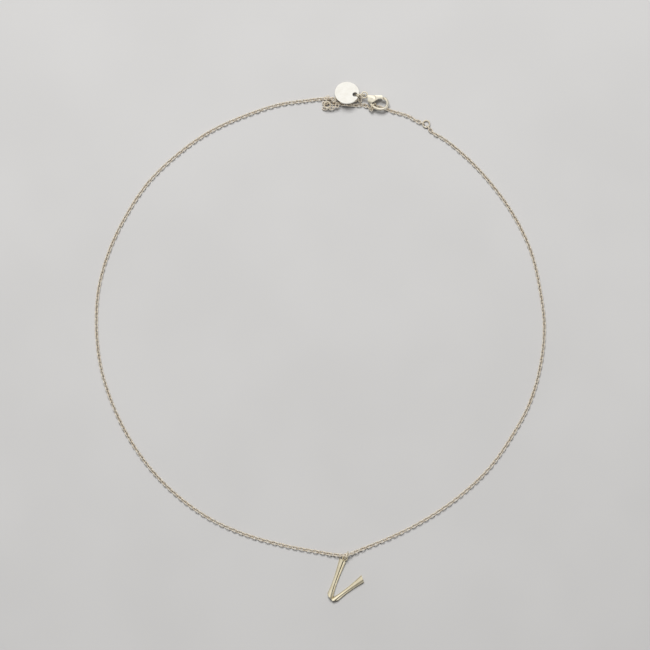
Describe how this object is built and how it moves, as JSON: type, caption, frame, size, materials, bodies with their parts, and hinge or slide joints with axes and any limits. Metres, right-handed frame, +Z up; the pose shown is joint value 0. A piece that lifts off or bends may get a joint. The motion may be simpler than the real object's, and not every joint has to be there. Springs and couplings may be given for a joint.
{
  "type": "initial pendant",
  "caption": "Fine cable-chain necklace lying open in a loop, with a V initial, a lobster clasp, a plain round tag and an extension with sizing rings.",
  "frame": {"origin": "On the surface the necklace lies on, under the middle of its bounding box", "axes": "+Z up off the surface, +Y from the letter towards the clasp, +X to the right as seen from above"},
  "size_m": [0.1352, 0.1556, 0.0035],
  "materials": {
    "letter_gold": "polished pale gold",
    "ring_gold": "polished pale gold",
    "chain_gold": "polished pale gold",
    "tag_gold": "satin pale gold",
    "clasp_gold": "polished pale gold"
  },
  "bodies": {
    "necklace": {"letter_v": "letter_gold", "pendant_ring": "ring_gold", "pendant_links": "chain_gold", "chain_left": "chain_gold", "chain_right": "chain_gold", "left_end_links": "chain_gold", "clasp_ring": "ring_gold", "tag": "tag_gold", "clasp_body": "clasp_gold", "clasp_rivet": "clasp_gold", "held_ring": "ring_gold", "extension_links": "chain_gold", "short_ring": "ring_gold", "right_end_links": "chain_gold", "tail_links": "chain_gold", "end_ring": "ring_gold"},
    "lever": {"clasp_lever": "clasp_gold"}
  },
  "joints": [
    {"name": "lever_hinge", "type": "hinge", "parent": "necklace", "child": "lever", "pos_m": [0.01538, 0.07264, 0.00195], "axis": [0, 0, -1], "range_deg": [0, 24], "stiffness_Nm_per_rad": 0.002, "springref_deg": -28.65}
  ]
}
